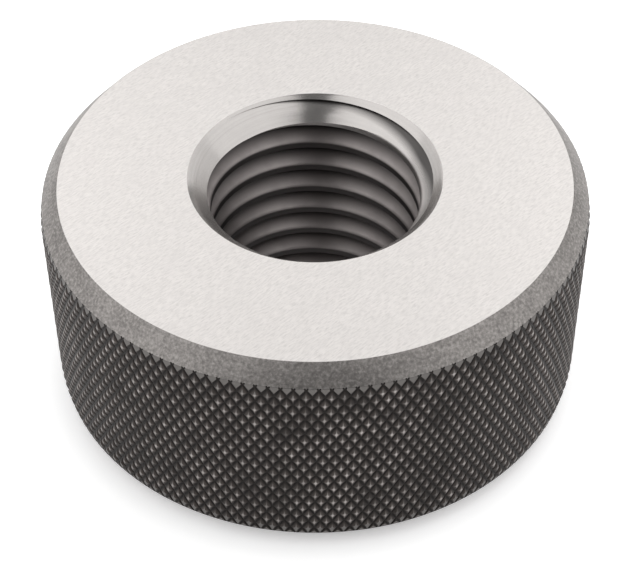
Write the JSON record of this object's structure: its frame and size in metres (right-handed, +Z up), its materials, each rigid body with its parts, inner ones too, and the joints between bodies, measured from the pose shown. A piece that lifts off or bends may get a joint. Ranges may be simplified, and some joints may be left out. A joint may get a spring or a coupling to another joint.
{
  "type": "thread ring gauge",
  "caption": "Plain solid steel ring with a right-hand screw thread through its middle, countersunk mouths, bevelled rims and a knurled grip.",
  "frame": {"origin": "centre of the lower face, on the thread's axis", "axes": "+Z up along the thread's axis, towards the upper face; +X and +Y in the lower face, with -Y towards the viewer"},
  "size_m": [0.045, 0.045, 0.02],
  "materials": {
    "gauge_steel": "hardened tool steel, ground bright on the two faces and the thread, satin on the bevels, dark in the knurl"
  },
  "bodies": {
    "root": {"gauge_ring": "gauge_steel"}
  },
  "joints": []
}
